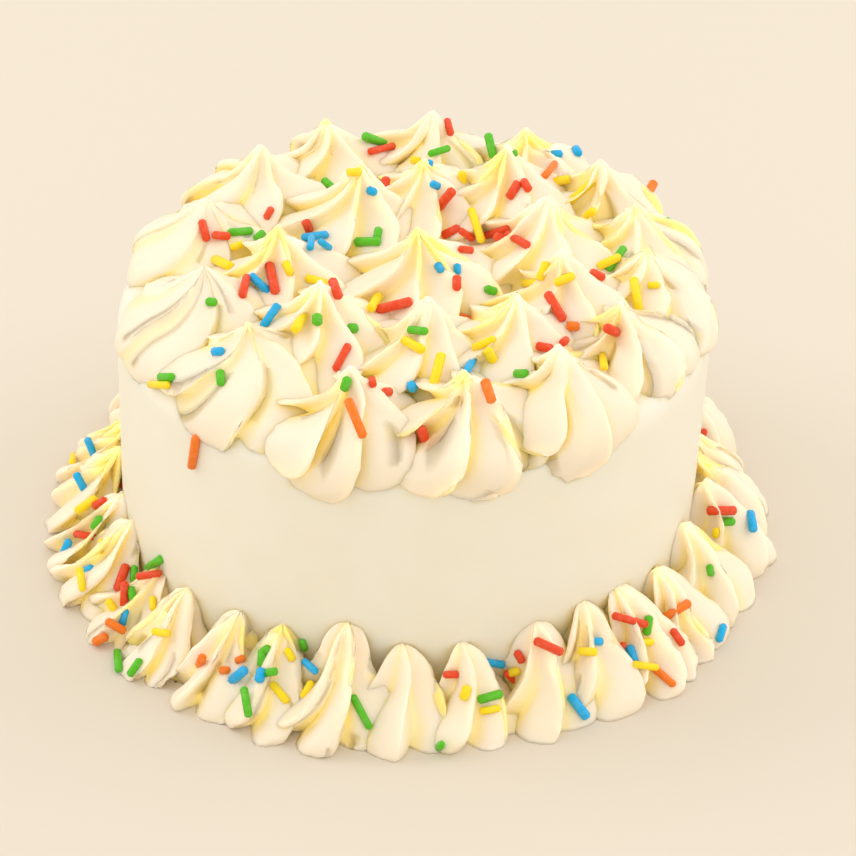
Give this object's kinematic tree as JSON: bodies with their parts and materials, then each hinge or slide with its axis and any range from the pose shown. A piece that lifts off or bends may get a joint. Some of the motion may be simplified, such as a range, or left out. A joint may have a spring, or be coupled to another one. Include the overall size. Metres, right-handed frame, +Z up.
{
  "type": "birthday cake",
  "caption": "Round birthday cake coated in ivory whipped cream, with twisted piped swirls over its top, a border of small swirls round its foot and scattered coloured sugar strands.",
  "frame": {"origin": "centre of the flat underside, where the cake rests", "axes": "+Z up through the swirls; -Y is the front that the picture shows; +X is its right"},
  "size_m": [0.1702, 0.1698, 0.0867],
  "materials": {
    "coat_cream": "smoothed whipped cream, soft satin",
    "piped_cream": "piped whipped cream, soft satin",
    "border_cream": "piped whipped cream, soft satin"
  },
  "bodies": {
    "root": {"border_swirl_01": "border_cream", "border_swirl_02": "border_cream", "border_swirl_03": "border_cream", "border_swirl_04": "border_cream", "border_swirl_05": "border_cream", "border_swirl_06": "border_cream", "border_swirl_07": "border_cream", "border_swirl_08": "border_cream", "border_swirl_09": "border_cream", "border_swirl_10": "border_cream", "border_swirl_11": "border_cream", "border_swirl_12": "border_cream", "border_swirl_13": "border_cream", "border_swirl_14": "border_cream", "border_swirl_15": "border_cream", "border_swirl_16": "border_cream", "border_swirl_17": "border_cream", "border_swirl_18": "border_cream", "border_swirl_19": "border_cream", "border_swirl_20": "border_cream", "border_swirl_21": "border_cream", "border_swirl_22": "border_cream", "border_swirl_23": "border_cream", "border_swirl_24": "border_cream", "border_swirl_25": "border_cream", "border_swirl_26": "border_cream", "border_swirl_27": "border_cream", "border_swirl_28": "border_cream", "border_swirl_29": "border_cream", "border_swirl_30": "border_cream", "border_swirl_31": "border_cream", "border_swirl_32": "border_cream", "cake_body": "coat_cream", "top_swirl_01": "piped_cream", "top_swirl_02": "piped_cream", "top_swirl_03": "piped_cream", "top_swirl_04": "piped_cream", "top_swirl_05": "piped_cream", "top_swirl_06": "piped_cream", "top_swirl_07": "piped_cream", "top_swirl_08": "piped_cream", "top_swirl_09": "piped_cream", "top_swirl_10": "piped_cream", "top_swirl_11": "piped_cream", "top_swirl_12": "piped_cream", "top_swirl_13": "piped_cream", "top_swirl_14": "piped_cream", "top_swirl_15": "piped_cream", "top_swirl_16": "piped_cream", "top_swirl_17": "piped_cream", "top_swirl_18": "piped_cream", "top_swirl_19": "piped_cream", "top_swirl_20": "piped_cream", "top_swirl_21": "piped_cream", "top_swirl_22": "piped_cream", "top_swirl_23": "piped_cream", "top_swirl_24": "piped_cream"}
  },
  "joints": []
}
